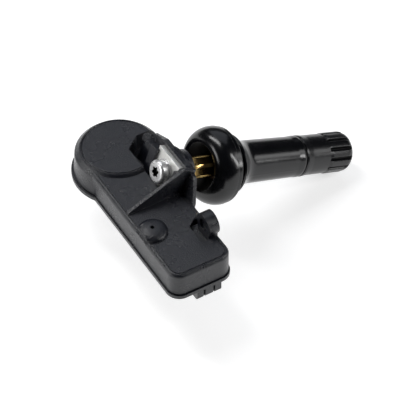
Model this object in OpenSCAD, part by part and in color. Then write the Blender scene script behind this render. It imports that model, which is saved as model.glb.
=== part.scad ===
// Tyre pressure sensor with a snap-in rubber valve.
// The origin is the middle of the rim groove, on the axis of the valve.
// The sensor body lies flat: +X runs towards the valve, +Y towards the battery pod, +Z up.

/* [Battery pod] */
// Gap between the battery cell and the wall of the tray round it
cell_gap = 0.6; // [0.5:0.1:0.8]
// Room between the battery cell and the floor of the screw pocket over it
cell_room = 0.15; // [0.1:0.05:0.3]
// How much the side wall leans in up to the shoulder
pod_lean = 0.4; // [0.2:0.1:0.6]
// Height of the pod's top face above the underside of the flange
pod_top = 8.3; // [8:0.1:9]
// Width and height of the pod's sloping shoulder
pod_slope = 1.4; // [1.1:0.1:1.5]
// Distance of the ring groove from the edge of the pod's top face
ring_in = 0.3; // [0.2:0.1:0.8]
// Width and depth of the ring groove
ring_cut = 0.3; // [0.2:0.05:0.4]

/* [Electronics box] */
// Width of the box
box_w = 16.2; // [15.8:0.1:17]
// Sideways place of the middle of the box, from the axis of the pod
box_mid = -1.8; // [-2.2:0.1:-1.4]
// Distance from the axis of the pod to the end of the box
box_end = 44; // [43:0.5:47]
// Height of the box's top face above the underside of the flange
box_top = 7.6; // [7.4:0.1:8]
// Radius of the box's upright corners
box_corner = 3.2; // [2.6:0.1:3.8]
// Radius of the box's top edges
box_round = 0.9; // [0.6:0.1:1.2]
// Width and depth of the line round the box's top face
line_cut = 0.2; // [0.1:0.05:0.3]
// Thickness of the moulded walls
wall_t = 1.2; // [1:0.1:1.3]

/* [Base cover] */
// Thickness of the flange round the cover
flange_t = 1.0; // [0.8:0.1:1.2]
// How far the flange stands out round the pod
flange_pod = 0.6; // [0.4:0.1:0.8]
// How far the flange stands out round the box
flange_box = 0.35; // [0.2:0.05:0.6]
// How far the tray sits in from the edge of the flange
tray_in = 2.1; // [1.9:0.1:2.3]
// Width of the ribbed tab at the end of the tray
tab_w = 6.6; // [6:0.2:8.4]
// Depth of the tab below the flange's underside
tab_d = 3.5; // [3:0.1:4]
// Thickness of the tab
tab_t = 2.4; // [2.2:0.1:3]
// Radius of the rounding of the tab's lower edge
tab_round = 0.9; // [0.6:0.1:1.2]
// Width of a groove in the ribbed tab
tab_groove = 0.5; // [0.3:0.1:0.8]
// Depth of the seam between the cover and the housing
seam = 0.25; // [0.15:0.05:0.35]
// Height of the locating edge inside the housing
upstand_h = 0.7; // [0.5:0.1:0.8]

/* [Valve cradle] */
// Downward tilt of the valve
valve_tilt = 21.2; // [20:0.2:22]
// Distance from the axis of the pod to the axis of the valve
valve_off = 14; // [13.6:0.2:14.6]
// Distance from the rim groove to the inner face of the wings
seat_to_wing = 15.8; // [15:0.2:17]
// Height of the valve axis above the foot of the wings
foot_drop = 1.43; // [1.3:0.01:1.5]
// Thickness of the wings
wing_t = 1.0; // [0.8:0.1:1.2]
// Height of the cradle's wall above the axis of the valve
wall_h = 5.2; // [5:0.1:5.6]
// Half width of the thick middle of the wall
wall_half = 6.6; // [6.4:0.1:7]
// Reach of the near wing beside the thick middle
near_wing = 5.2; // [4.8:0.1:5.6]
// Reach of the far wing beside the thick middle
far_wing = 5.8; // [5.4:0.1:6.2]
// How much the thick middle stands out from the wings on each face
wall_extra = 0.6; // [0.4:0.1:0.8]
// Outer radius of the collar
collar_r = 4.9; // [4.6:0.1:5.2]
// Length of the collar outside the wall
collar_len = 2.2; // [1.8:0.1:2.6]
// Thickness of the gusset
gusset_t = 0.9; // [0.7:0.1:1.1]
// Length of the gusset along the top of the box
gusset_len = 14.6; // [12:0.2:14.8]

/* [Screw pocket] */
// Distance from the axis of the pod to the pocket's long side
pocket_side = 1.8; // [1.6:0.1:2.2]
// How far the pocket reaches past the axis of the pod
pocket_far = 1.0; // [0.8:0.1:1.4]
// Width of the pocket's cut corner
pocket_corner = 3.8; // [3.2:0.1:4.2]
// Length of the pocket's cut corner
pocket_bevel = 3.0; // [2.6:0.1:3.4]
// Depth of the pocket below the top of the box
pocket_d = 4.2; // [4:0.1:4.4]

/* [Pressure port] */
// Distance from the side of the box to the port
port_side = 3.3; // [3.2:0.1:3.6]
// Distance from the end of the box to the port
port_end = 15.8; // [15:0.2:16.4]
// Radius of the port's dome
port_r = 3.7; // [3.4:0.1:3.9]
// Height of the dome above the top of the box
port_h = 1.6; // [1.3:0.1:1.9]
// Radius of the port's mouth
port_mouth = 0.5; // [0.4:0.05:0.6]
// Radius of the tube under the port
port_tube = 1.9; // [1.7:0.1:2.1]

/* [Round lug] */
// Distance from the end of the box to the lug
lug_end = 9.9; // [9:0.1:10.4]
// Radius of the lug
lug_r = 3.0; // [2.9:0.1:3.3]
// Thickness of the lug
lug_t = 2.8; // [2.4:0.1:3]
// Height of the lug's hole above the top of the box
lug_h = 2.0; // [1.9:0.1:2.6]
// Radius of the lug's hole
lug_hole = 0.9; // [0.8:0.05:1.1]
// Radius of the sunk ring round the hole
lug_sink = 1.7; // [1.5:0.1:2.2]
// Depth of the sunk ring
lug_sink_d = 0.7; // [0.5:0.1:0.9]
// Width of the notch beside the lug
notch_w = 2.1; // [1.6:0.1:2.4]
// Depth of the notch
notch_d = 1.6; // [1.2:0.1:1.8]

/* [Rubber valve] */
// Diameter of the rim hole that the valve snaps into
rim_hole = 11.5; // [11.3:0.1:11.7]
// Width of the rim groove
rim_groove = 3.0; // [2.5:0.1:3.5]
// Diameter of the sealing lip
lip_d = 19.6; // [19:0.1:20.2]
// Thickness of the lip's thin edge
lip_edge = 0.5; // [0.4:0.1:0.8]
// Length of the bulb behind the lip
bulb_len = 5.0; // [4.6:0.1:5.4]
// Width of the bulb's rounding
bulb_round = 3.4; // [3:0.1:3.6]
// Length of the bulb's rounding along the valve
bulb_round_len = 4.4; // [4:0.1:4.8]
// Radius of the recess in the bulb's back
recess_r = 6.1; // [5.8:0.1:6.4]
// Depth of the recess
recess_d = 3.4; // [3:0.1:3.8]
// Diameter of the snap shoulder
shoulder_d = 15.2; // [14.8:0.1:15.6]
// Length of the shoulder's straight edge
shoulder_edge = 0.6; // [0.4:0.1:1]
// Length of the cone behind the shoulder
cone_len = 4.0; // [3.5:0.1:4.5]
// Diameter of the stem at the cone
stem_d = 10.7; // [10.5:0.1:11]
// Diameter of the stem near the cap
stem_end_d = 10.4; // [10.2:0.1:10.6]
// Length of the stem from the cone to the cap
stem_len = 16.8; // [15:0.1:18]

/* [Brass stem] */
// Corner radius of the six-sided neck
neck_r = 3.1; // [3:0.05:3.2]
// Turn of the six-sided neck about the axis
neck_turn = 45; // [0:5:60]
// Radius of the round middle
brass_r = 3.3; // [3.2:0.05:3.5]
// Outer diameter of the cap thread
thread_d = 7.7; // [7.6:0.05:7.8]
// Length of the threaded end
thread_len = 13.4; // [13:0.1:13.6]
// Radius of the air passage
air_r = 1.0; // [0.8:0.1:1.1]
// Radius of the air hole in the side of the neck
air_hole_r = 0.7; // [0.5:0.1:0.8]
// Depth of the hole for the clamp screw
tap_d = 6.8; // [6.6:0.1:7]

/* [Valve core] */
// Radius of the mouth's thread for the core
mouth_r = 2.6; // [2.55:0.05:2.7]
// Radius of the chamber behind the core
chamber_r = 2.0; // [1.95:0.05:2.1]
// Length of the core's threaded plug
plug_len = 5.5; // [5.2:0.1:6]
// Length of the core's narrow tube
tube_len = 7.0; // [6.5:0.1:7.5]
// Outer radius of the narrow tube
tube_r = 1.6; // [1.5:0.05:1.7]
// Radius of the pin
pin_r = 0.5; // [0.45:0.05:0.55]
// How far the pin is pressed in to let air out
pin_stroke = 1.2; // [1:0.1:1.4]
// Wire diameter of the core's spring
wire_d = 0.3; // [0.24:0.02:0.34]
// Turns of the core's spring
spring_turns = 5; // [4:1:6]

/* [Valve cap] */
// Length of the cap
cap_len = 15.9; // [15.5:0.1:17]
// Diameter of the cap's open end
cap_d = 10.6; // [10.4:0.1:10.8]
// Diameter of the cap's closed end
cap_end_d = 10.2; // [9.8:0.1:10.3]
// Radius of the rounding of the closed end
cap_round = 1.4; // [1:0.1:1.8]
// Number of grip grooves
flutes = 12; // [8:1:16]
// Turn of the grip grooves about the axis
flute_turn = 11; // [0:1:30]
// Length of the grip grooves
flute_len = 8; // [6:0.5:10]
// Width of a grip groove
flute_w = 0.6; // [0.4:0.1:0.9]
// Depth of a grip groove
flute_d = 0.35; // [0.2:0.05:0.4]
// Thickness of the cap's seal
cap_seal_t = 0.9; // [0.7:0.1:1]

/* [Clamp screw and plate] */
// Width of the clamp plate
plate_w = 9.1; // [8.8:0.1:9.3]
// Height of the plate above the axis of the valve
plate_up = 4.3; // [4.1:0.1:4.6]
// Height of the plate below the axis of the valve
plate_down = 4.1; // [3.8:0.1:4.3]
// Thickness of the plate
plate_t = 1.2; // [1:0.1:1.3]
// Thickness of the flat washer
washer_t = 0.4; // [0.3:0.1:0.6]
// Thickness of the lock washer
lock_t = 0.5; // [0.4:0.1:0.8]
// Radius of the washers
washer_r = 3.0; // [2.8:0.1:3.2]
// Radius of the screw's head
head_r = 2.95; // [2.85:0.05:3.15]
// Height of the screw's head
head_t = 1.8; // [1.6:0.1:2]
// Radius of the screw's thread
screw_r = 1.5; // [1.45:0.05:1.55]
// Length of the screw under its head
screw_len = 8; // [7.6:0.1:8.4]
// Depth of the star recess in the head
star_d = 1.0; // [0.8:0.1:1.1]

/* [Electronics] */
// Radius of the battery cell
cell_r = 8; // [7.6:0.1:8.2]
// Thickness of the battery cell
cell_t = 3.2; // [3:0.1:3.3]
// Thickness of the tab strips
strip_t = 0.15; // [0.1:0.05:0.2]
// Thickness of the circuit board
board_t = 0.8; // [0.7:0.1:1]
// Distance from the edges of the board to its posts
post_in = 2.2; // [2:0.1:2.4]
// Width of the tab strips
strip_w = 2.0; // [1.6:0.1:2.2]
// Width of the pressure sensor chip
chip_w = 4.4; // [4.2:0.1:4.6]
// Thickness of the pressure sensor chip
chip_t = 1.6; // [1.4:0.1:1.8]
// Thickness of the port's seal ring
seal_t = 0.8; // [0.6:0.1:0.9]
// Width of the radio chip
radio_w = 5.0; // [4.6:0.1:5.2]
// Width and height of the wake-up coil
coil_w = 2.7; // [2.4:0.1:2.8]
// Distance from the end of the board to the coil
coil_in = 5.6; // [5.4:0.1:6]
// Distance between the small parts of the board's row
part_pitch = 1.9; // [1.7:0.1:2]

/* [Fits] */
// Radial gap between a sliding or turning piece and its bore
run_gap = 0.05; // [0.03:0.01:0.08]
// Gap between pieces that are only placed together
loose_gap = 0.1; // [0.08:0.02:0.16]
// Room between the parts on the circuit board
part_gap = 0.4; // [0.3:0.05:0.5]
// Room between the circuit board and the walls round it
board_gap = 0.3; // [0.2:0.05:0.4]

/* [Hidden] */
$fn = 96;
eps = 0.01;
// More than any outline, so that a cut runs right through
far = 40;

// Places on the body, from the axis of the pod and the underside of the flange
pod_r = cell_r + cell_gap + wall_t + tray_in - flange_pod;
pod_flat = pod_r - pod_lean - pod_slope - 0.1;
box_left = box_mid - box_w / 2;
box_right = box_mid + box_w / 2;
tab_mid = box_mid + 1.5;
pocket_floor = box_top - pocket_d;
ceiling = box_top - wall_t;
pocket_ceiling = pocket_floor - wall_t;
cell_top = pocket_ceiling - cell_room;
cell_in = cell_top - cell_t;
tray_floor = cell_in - strip_t;
tray_d = wall_t - tray_floor;
gusset_y = -valve_off - wall_half - 0.06;
port_x = box_left + port_side;
port_off = box_end - port_end;
lug_off = box_end - lug_end;
lug_in = box_right - lug_t + 0.3;
notch_left = lug_in - notch_w;

// The rim groove's middle, from the axis of the pod and the underside of the flange
wing_foot = box_right - 0.3;
seat_x = wing_foot + foot_drop * sin(valve_tilt) + seat_to_wing * cos(valve_tilt);
seat_z = box_top + foot_drop * cos(valve_tilt) - seat_to_wing * sin(valve_tilt);

// Stations along the valve, from the rim groove towards the cap
wing_in = -seat_to_wing;
wall_in = wing_in - wall_extra;
wing_out = wing_in + wing_t;
wall_out = wing_out + wall_extra;
collar_end = wall_out + collar_len;
plate_in = wall_in - plate_t;
washer_in = plate_in - washer_t;
lock_in = washer_in - lock_t;
head_in = lock_in - head_t;
seat_r = rim_hole / 2;
lip_r = lip_d / 2;
groove_in = -rim_groove / 2;
groove_out = rim_groove / 2;
lip_back = groove_in - lip_edge;
bulb_back = lip_back - bulb_len;
recess_floor = bulb_back + recess_d;
shoulder_r = shoulder_d / 2;
shoulder_out = groove_out + shoulder_edge;
cone_out = shoulder_out + cone_len;
rubber_end = cone_out + stem_len;
cap_in = rubber_end + 0.3;
thread_in = rubber_end;
mouth = thread_in + thread_len;
cap_out = cap_in + cap_len;
seal_in = mouth + run_gap;
seal_out = seal_in + cap_seal_t;
thread_r = thread_d / 2;

// Stations inside the valve, measured inwards from the mouth
plug_top = mouth - 1;
plug_end = plug_top - plug_len;
gasket_len = 1.6;
tube_end = plug_end - tube_len;
pin_head = mouth - 0.3;
pin_collar = mouth - 1.6;
spring_seat = plug_end + 1;
plunger_len = 2.2;
chamber_end = tube_end - plunger_len - pin_stroke - 1.6;
plug_bore = 1.3;
guide_r = pin_r + 0.25;
spring_r = 0.9;

// Points of an arc in a plane, with half widths rx and ry, from angle a to angle b
function arc(mx, my, rx, ry, a, b, n) =
    [for (i = [0:n]) [mx + rx * cos(a + (b - a) * i / n), my + ry * sin(a + (b - a) * i / n)]];

// A point beside the valve's axis, as X and Z of the body
function beside(z, h) = [
    seat_x + z * cos(valve_tilt) + h * sin(valve_tilt),
    seat_z - z * sin(valve_tilt) + h * cos(valve_tilt)];

// The body's own frame: axis of the pod, underside of the flange
module on_body() {
    translate([-seat_x, valve_off, -seat_z]) children();
}

// The valve's own frame: Z along the valve, towards the cap
module on_valve() {
    rotate([0, 90 + valve_tilt, 0]) children();
}

// An outline across the valve, with its X along the wall and its Y up the wall
module across_valve(z, thick) {
    on_valve() translate([0, 0, z]) rotate(90) linear_extrude(thick) children();
}

// A round piece on the valve's axis, from its outline of radius and station
module turned() {
    on_valve() rotate_extrude() children();
}

// A washer or tube on the valve's axis
module ring(z, thick, outer, inner) {
    on_valve() translate([0, 0, z]) difference() {
        cylinder(r = outer, h = thick);
        translate([0, 0, -eps]) cylinder(r = inner, h = thick + 2 * eps);
    }
}

// Outline of the electronics box, set in from its wall
module box_outline(inset) {
    r = max(box_corner - inset, 0.4);
    w = box_w / 2 - inset;
    translate([box_mid, 0]) union() {
        translate([-w, -box_end + inset + r]) square([2 * w, box_end - inset - r]);
        translate([-w + r, -box_end + inset]) square([2 * (w - r), box_end - inset]);
        for (side = [-1, 1])
            translate([side * (w - r), -box_end + inset + r]) circle(r);
    }
}

// Outline of the whole body, set in from the walls of the pod and the box
module body_outline(pod_inset, box_inset) {
    circle(pod_r - pod_inset);
    box_outline(box_inset);
}

// Round corner post of the box, with a rounded top edge
module corner_post() {
    rotate_extrude() {
        square([box_corner, 1]);
        square([box_corner - box_round, 1 + box_round]);
        translate([box_corner - box_round, 1]) circle(box_round);
    }
}

// The electronics box as a solid block with rounded top edges and a fine line round its top
module box_block() {
    difference() {
        rounded_box();
        translate([0, 0, box_top - line_cut]) linear_extrude(far) difference() {
            box_outline(box_round);
            box_outline(box_round + line_cut);
        }
    }
}

// The box without its line
module rounded_box() {
    low = box_top - box_round;
    end = -box_end + box_corner;
    translate([0, 0, flange_t]) linear_extrude(low - flange_t) box_outline(0);
    translate([0, 0, flange_t]) linear_extrude(box_top - flange_t) box_outline(box_round);
    for (x = [box_left + box_round, box_right - box_round])
        translate([x, end, low]) rotate([-90, 0, 0]) cylinder(r = box_round, h = -end);
    translate([box_left + box_corner, -box_end + box_round, low]) rotate([0, 90, 0])
        cylinder(r = box_round, h = box_w - 2 * box_corner);
    for (x = [box_left + box_corner, box_right - box_corner])
        translate([x, end, low - 1]) corner_post();
}

// The round pod as a solid block with a ring groove in its top
module pod_block() {
    difference() {
        rotate_extrude() polygon([
            [0, flange_t], [pod_r, flange_t], [pod_r - pod_lean, pod_top - pod_slope - 0.3],
            [pod_r - pod_lean - 0.1, pod_top - pod_slope],
            [pod_r - pod_lean - pod_slope + 0.2, pod_top - 0.2],
            [pod_flat, pod_top], [0, pod_top]]);
        rotate_extrude()
            translate([pod_flat - ring_in, pod_top]) rotate(45) square(ring_cut, center = true);
    }
}

// Plan of the pocket round the screw's head and the far wing
module pocket_plan() {
    polygon([
        [pocket_side, gusset_y + gusset_t],
        [pocket_side, pocket_far - pocket_bevel],
        [pocket_side + pocket_corner, pocket_far],
        [far, pocket_far],
        [far, gusset_y + gusset_t]]);
}

// The pocket: open to the side past the far wing, and closed by the wall elsewhere
module pocket() {
    translate([0, 0, pocket_floor]) linear_extrude(far) intersection() {
        pocket_plan();
        translate([0, -valve_off + wall_half]) square(far);
    }
    intersection() {
        translate([0, 0, pocket_floor]) linear_extrude(far) pocket_plan();
        translate([seat_x, -valve_off, seat_z]) rotate([0, 90 + valve_tilt, 0])
            translate([-far, -far, -2 * far]) cube([2 * far, 2 * far, 2 * far + wall_in + eps]);
    }
}

// Outline of the wall with its wings, seen along the valve
module wing_outline() {
    polygon(concat(
        [[-wall_half - near_wing, -4], [-wall_half - near_wing + 0.35, -foot_drop]],
        arc(-wall_half - 0.75, 2.9, 1.6, 1.6, 150, 90, 6),
        [[-wall_half + 1, wall_h - 0.1], [-wall_half + 1.6, wall_h],
            [wall_half - 1.1, wall_h], [wall_half + 2.6, 3.9]],
        arc(wall_half + 2.5, 2.4, 1.5, 1.5, 70, 20, 5),
        [[wall_half + far_wing, -foot_drop], [wall_half + far_wing + 0.2, -6.2],
            [-wall_half + 2, -6.2]]));
}

// Heights of the rails and of the far wing's ledge above the axis of the valve
rail_h = 3.3;
ledge_h = 2.4;

// The cradle that holds the neck of the valve
module cradle() {
    across_valve(wing_in, wing_t) wing_outline();
    across_valve(wall_in, wall_extra + eps) intersection() {
        wing_outline();
        translate([-wall_half, -6.6]) square([2 * wall_half, 20]);
    }
    across_valve(wing_out - eps, wall_extra + eps) intersection() {
        wing_outline();
        translate([-wall_half, -6.6]) square([wall_half + 2, 20]);
    }
    on_valve() translate([0, 0, wing_out - eps]) {
        cylinder(r = collar_r, h = collar_end - wing_out + eps);
        cylinder(r1 = collar_r + 1, r2 = collar_r, h = 1.6);
    }
    // Rails that hold the edges of the plate
    lip = 0.6;
    slot = plate_w / 2 + loose_gap;
    for (side = [-1, 1]) scale([1, side, 1]) {
        across_valve(plate_in - 0.9, 0.9 + plate_t + eps)
            translate([slot, -6.6]) square([wall_half - slot, 6.6 + rail_h]);
        across_valve(plate_in - 0.9, 0.9 - loose_gap)
            translate([slot - lip, -6.6]) square([wall_half - slot + lip, 6.6 + rail_h]);
    }
    // Stepped ledge on the far wing
    across_valve(plate_in - 0.5, wing_in - plate_in + 0.7)
        translate([wall_half - eps, ledge_h - 1.6]) square([2.6, 1.6]);
    across_valve(plate_in + 0.2, wing_in - plate_in)
        translate([wall_half, ledge_h - 1.6]) square([far_wing - 0.7, 1.6]);
    // Shelf under the plate
    across_valve(plate_in - 0.9, 0.9 + plate_t + eps)
        translate([-slot, -6.6]) square([2 * slot, 6.6 - plate_down - loose_gap]);
    gusset();
}

// The thin web beside the screw's head
module gusset() {
    foot = [beside(wall_in, 0)[0] - gusset_len, box_top];
    top = beside(wall_in - 1.2, wall_h + 0.1);
    back = beside(wall_out, wall_h);
    on_body() translate([0, gusset_y + gusset_t, 0]) rotate([90, 0, 0])
        linear_extrude(gusset_t) polygon([
            [foot[0] - 0.6, foot[1] - 0.6], [foot[0], foot[1] + 0.6], top, back,
            [back[0] - 2.4, box_top - 0.6]]);
}

// The raised dome round the pressure port
module port_dome() {
    top = box_top + port_h;
    intersection() {
        translate([port_x, -port_off, 0]) rotate_extrude() polygon(concat(
            [[0, ceiling], [port_r, ceiling]],
            arc(0, box_top + 0.25, port_r, port_h - 0.25, 0, 90, 10)));
        translate([box_left + 0.5, -far, 0]) cube(2 * far);
    }
    // The stepped part that runs into the side wall
    translate([0, -port_off + 2.4, 0]) rotate([90, 0, 0]) linear_extrude(4.8) polygon([
        [box_left, flange_t + 3], [box_left, top - 1.9], [box_left + 0.5, top - 1.5],
        [box_left + 0.5, top - 1.1], [box_left + 1.1, top - 0.9], [box_left + 1.1, top - 0.6],
        [box_left + 2, top - 0.3], [port_x, top - 0.3], [port_x, ceiling]]);
}

// The round lug on the edge of the box
module lug() {
    y = -lug_off;
    z = box_top + lug_h;
    translate([lug_in, y, z]) rotate([0, 90, 0]) cylinder(r = lug_r, h = lug_t);
    translate([lug_in, y - lug_r + 0.5, ceiling - 1])
        cube([lug_t - 0.3, 2 * lug_r - 1, lug_h + 2.2]);
}

// The housing: pod, box, cradle, port and lug in one moulding, open below
module housing() {
    color([0.13, 0.13, 0.14]) difference() {
        union() {
            difference() {
                on_body() union() {
                    pod_block();
                    box_block();
                    port_dome();
                }
                on_body() pocket();
                on_body() notch();
            }
            on_body() lug();
            intersection() {
                cradle();
                on_body() translate([-far, -far, pocket_ceiling + eps]) cube(2 * far);
            }
        }
        on_body() cavity();
        on_body() seam_cut();
        on_body() port_bore();
        on_body() lug_bores();
        // Six-sided hole for the neck of the valve
        on_valve() translate([0, 0, wall_in - eps]) rotate(neck_turn)
            cylinder(r = neck_r + run_gap, h = collar_end - wall_in + 2 * eps, $fn = 6);
    }
}

// The notch beside the lug
module notch() {
    translate([0, 0, box_top - notch_d]) linear_extrude(far) polygon([
        [notch_left, -lug_off - lug_r], [notch_left, -lug_off + lug_r - 0.2],
        [box_right - 0.5, -lug_off + 2 * lug_r], [far, -lug_off + 2 * lug_r],
        [far, -lug_off - lug_r]]);
}

// The seam line just above the flange
module seam_cut() {
    translate([0, 0, flange_t - eps]) linear_extrude(seam + eps) difference() {
        body_outline(-1, -1);
        body_outline(seam, seam);
    }
}

// Inner edge of the lug's root
root_left = notch_left - 1.1;

// The hollow inside the pod and the box
module cavity() {
    difference() {
        union() {
            translate([0, 0, -eps]) cylinder(r = pod_r - wall_t, h = pod_top - wall_t - 1.4 + eps);
            translate([0, 0, pod_top - wall_t - 1.4])
                cylinder(r1 = pod_r - wall_t, r2 = pod_r - wall_t - 1.4, h = 1.4);
            translate([0, 0, -eps]) linear_extrude(ceiling + eps) box_outline(wall_t);
        }
        // Floor and sides of the pocket
        translate([0, 0, pocket_ceiling]) linear_extrude(far) difference() {
            translate([pocket_side - wall_t, -valve_off - wall_half - wall_t])
                square([far, valve_off + wall_half + pocket_far + 2 * wall_t]);
        }
        // Floor of the notch and the root of the lug
        translate([root_left, -lug_off - lug_r - 0.9, box_top - notch_d - 1.1])
            cube([far, 2 * lug_r + 1.8, far]);
        // Tube under the pressure port
        translate([port_x, -port_off, board_top + chip_t + seal_t])
            cylinder(r = port_tube, h = far);
    }
}

// The air way of the pressure port
module port_bore() {
    translate([port_x, -port_off, 0]) cylinder(r = port_mouth, h = far);
}

// The lug's hole and the sunk ring on its inner face
module lug_bores() {
    translate([lug_in, -lug_off, box_top + lug_h]) rotate([0, 90, 0]) {
        translate([0, 0, -notch_w]) cylinder(r = lug_hole, h = far);
        translate([0, 0, -notch_w]) cylinder(r = lug_sink, h = notch_w + lug_sink_d);
    }
}

// Place of the circuit board
board_in = flange_t + upstand_h + loose_gap;
board_top = board_in + board_t;
board_left = box_left + wall_t + board_gap;
board_right = box_right - wall_t - board_gap;
board_end = -box_end + wall_t + board_gap;
board_near = -valve_off - wall_half - wall_t - loose_gap;
post_spots = [for (x = [board_left + post_in, board_right - post_in])
    for (y = [board_end + post_in, board_near - post_in]) [x, y]];
post_r = 1.1;
post_pin_r = 0.5;

// The cover that closes the body from below
module base_cover() {
    color([0.12, 0.12, 0.13]) on_body() {
        difference() {
            union() {
                linear_extrude(flange_t) body_outline(-flange_pod, -flange_box);
                translate([0, 0, -tray_d]) linear_extrude(tray_d + eps)
                    body_outline(tray_in - flange_pod, tray_in - flange_box);
                linear_extrude(flange_t + upstand_h)
                    body_outline(wall_t + loose_gap, wall_t + loose_gap);
                tray_tab();
            }
            translate([0, 0, tray_floor]) linear_extrude(far)
                body_outline(tray_in - flange_pod + wall_t, tray_in - flange_box + wall_t);
            tab_grooves();
        }
        board_posts();
        // Ribs that centre the battery cell
        for (a = [0, 60, 120, 180]) rotate(a) translate([cell_r + loose_gap, -0.4, tray_floor - eps])
            cube([cell_gap, 0.8, flange_t - tray_floor]);
    }
}

// How far the tab's face sits in from the end of the box, and the depth of its grooves
tab_face = 0.1;
groove_d = 0.8;

// The ribbed tab at the end of the tray
module tray_tab() {
    translate([tab_mid - tab_w / 2, -box_end + tab_face, 0]) rotate([90, 0, 90])
        linear_extrude(tab_w) {
            translate([0, -tab_d + tab_round]) square([tab_t, tab_d - tab_round + eps]);
            translate([tab_round, -tab_d]) square([tab_t - tab_round, tab_d]);
            translate([tab_round, -tab_d + tab_round]) circle(tab_round);
        }
}

// The two grooves that part the tab's ribs
module tab_grooves() {
    for (i = [-1, 1])
        translate([tab_mid + i * tab_w / 5 - tab_groove / 2, -box_end - eps, -tab_d - eps])
            cube([tab_groove, tab_face + groove_d, tab_d + eps]);
}

// The posts that carry the circuit board, each with a locating pin
module board_posts() {
    for (spot = post_spots) translate([spot[0], spot[1], tray_floor - eps]) {
        cylinder(r = post_r, h = board_in - tray_floor + eps, $fn = 32);
        cylinder(r = post_pin_r, h = board_top - tray_floor + 0.3, $fn = 32);
    }
}

// The circuit board
module circuit_board() {
    color([0.05, 0.3, 0.14]) on_body() difference() {
        translate([board_left, board_end, board_in])
            cube([board_right - board_left, board_near - board_end, board_t]);
        for (spot = post_spots) translate([spot[0], spot[1], board_in - eps])
            cylinder(r = post_pin_r + loose_gap, h = board_t + 2 * eps, $fn = 32);
        // Cut corners
        for (x = [board_left, board_right]) translate([x, board_end, board_in - eps])
            rotate(45) cube([3.2, 3.2, 3], center = true);
    }
}

// The battery cell: a can with a smaller lid face
module battery_cell() {
    color([0.72, 0.73, 0.75]) on_body() translate([0, 0, cell_in]) rotate_extrude() {
        polygon([[0, 0], [cell_r - 1.1, 0], [cell_r - 1.1, 0.3], [cell_r - 0.3, 0.3],
            [cell_r, 0.7], [cell_r, cell_t - 0.4], [cell_r - 0.3, cell_t], [0, cell_t]]);
    }
}

// An outline of length and height from the cell to the board, as a strip of the tabs' width
module strip(left) {
    translate([left + strip_w, 0, 0]) rotate([90, 0, -90]) linear_extrude(strip_w) children();
}

// The strip from the cell's top to the circuit board
module battery_tab_top() {
    color([0.78, 0.77, 0.72]) on_body()
        strip(board_left + post_in + post_r + part_gap) polygon([
                [-3, cell_top], [cell_r + 0.6, cell_top], [cell_r + 1.4, board_in - strip_t],
                [-board_near + 3, board_in - strip_t], [-board_near + 3, board_in],
                [cell_r + 1.4, board_in], [cell_r + 0.6, cell_top + strip_t],
                [-3, cell_top + strip_t]]);
}

// The strip from the cell's underside to the circuit board
module battery_tab_bottom() {
    color([0.78, 0.77, 0.72]) on_body()
        strip(board_right - post_in - post_r - part_gap - strip_w) polygon([
                [-3, tray_floor], [cell_r + 1.2, tray_floor], [cell_r + 2.2, board_in - strip_t],
                [-board_near + 3, board_in - strip_t], [-board_near + 3, board_in],
                [cell_r + 2.1, board_in], [cell_r + 1.1, cell_in], [-3, cell_in]]);
}

// The pressure sensor under the port
module pressure_sensor_chip() {
    color([0.09, 0.09, 0.1]) on_body() difference() {
        translate([board_left + 0.2, -port_off - chip_w / 2, board_top])
            cube([chip_w, chip_w, chip_t]);
        translate([port_x, -port_off, board_top + chip_t - 0.5])
            cylinder(r = port_mouth, h = 1);
    }
}

// The seal ring between the sensor and the port's tube
module port_seal() {
    color([0.2, 0.2, 0.21]) on_body()
        translate([port_x, -port_off, board_top + chip_t]) difference() {
            cylinder(r = port_tube - 0.5, h = seal_t);
            translate([0, 0, -eps]) cylinder(r = port_mouth, h = seal_t + 2 * eps);
        }
}

// The radio and control chip
module radio_chip() {
    color([0.08, 0.08, 0.09]) on_body()
        translate([board_right - part_gap - radio_w, parts_y + 1.6 + part_gap, board_top])
            cube([radio_w, radio_w, 0.9]);
}

// The crystal in its metal can
module crystal_can() {
    can_l = 3.2;
    can_w = 2.5;
    color([0.7, 0.7, 0.72]) on_body()
        translate([board_right - post_in - post_pin_r - part_gap - can_l,
            board_near - part_gap - can_w, board_top]) cube([can_l, can_w, 0.8]);
}

// Place of the wake-up coil
coil_x = board_left + 2 * part_gap;
coil_y = board_end + coil_in;
coil_l = root_left - part_gap - coil_x;
// Place of the row of small parts beside the coil
parts_y = coil_y + coil_w + part_gap;

// The coil's core: a bar with a flange at each end
module coil_core() {
    color([0.25, 0.24, 0.24]) on_body() translate([coil_x, coil_y, board_top]) {
        translate([0, 0.5, 0.5]) cube([coil_l, coil_w - 1, coil_w - 1]);
        for (x = [0, coil_l - 1]) translate([x, 0, 0]) cube([1, coil_w, coil_w]);
    }
}

// The coil's winding
module coil_winding() {
    color([0.72, 0.4, 0.2]) on_body() translate([coil_x + 1, coil_y + 0.2, board_top + 0.2])
        difference() {
            cube([coil_l - 2, coil_w - 0.4, coil_w - 0.4]);
            translate([-eps, 0.3, 0.3]) cube([coil_l, coil_w - 1, coil_w - 1]);
        }
}

// The folded antenna strip on the circuit board
module antenna_strip() {
    span = board_right - board_left - 2 * (post_in + post_pin_r);
    rise = ceiling - board_top - 0.8;
    color([0.8, 0.62, 0.3]) on_body()
        translate([box_mid - span / 2, board_end + post_in, board_top]) rotate([90, 0, 0])
            linear_extrude(1.2) difference() {
                square([span, rise]);
                translate([0.3, -eps]) square([span - 0.6, rise - 0.3 + eps]);
            }
}

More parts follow.
